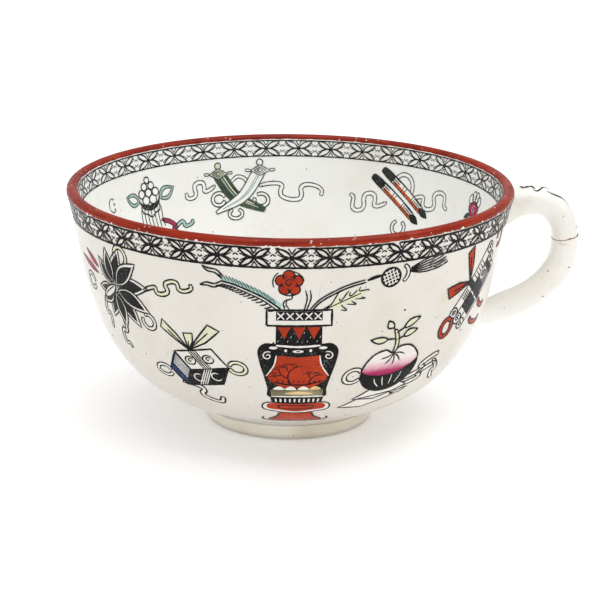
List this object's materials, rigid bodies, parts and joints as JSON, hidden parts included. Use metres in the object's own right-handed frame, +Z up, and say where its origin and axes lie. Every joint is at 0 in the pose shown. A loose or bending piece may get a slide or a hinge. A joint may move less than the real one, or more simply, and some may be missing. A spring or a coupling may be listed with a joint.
{
  "type": "tea cup",
  "caption": "Low wide ceramic tea cup on a turned foot ring, with an ear-shaped loop handle, a printed border and an enamelled lip.",
  "frame": {"origin": "centre of the foot ring's resting face, on the table", "axes": "+Z up through the cup's mouth; +X from the cup's axis towards the handle; +Y completes a right-handed frame"},
  "size_m": [0.1209, 0.104, 0.057],
  "materials": {
    "body_glaze": "glossy clear glaze over cream-white clay, finely crazed",
    "foot_glaze": "thin glaze, rubbed and stained beige",
    "lip_enamel": "brick-red overglaze enamel, worn in places",
    "luting_slip": "slip joint under the glaze",
    "old_glue": "brown aged adhesive and dirt in a break"
  },
  "bodies": {
    "root": {"bowl": "body_glaze", "foot_ring": "foot_glaze", "rim_line": "lip_enamel", "slip_upper": "luting_slip", "slip_lower": "luting_slip", "handle_upper": "body_glaze", "handle_lower": "body_glaze", "handle_seam": "old_glue"}
  },
  "joints": []
}
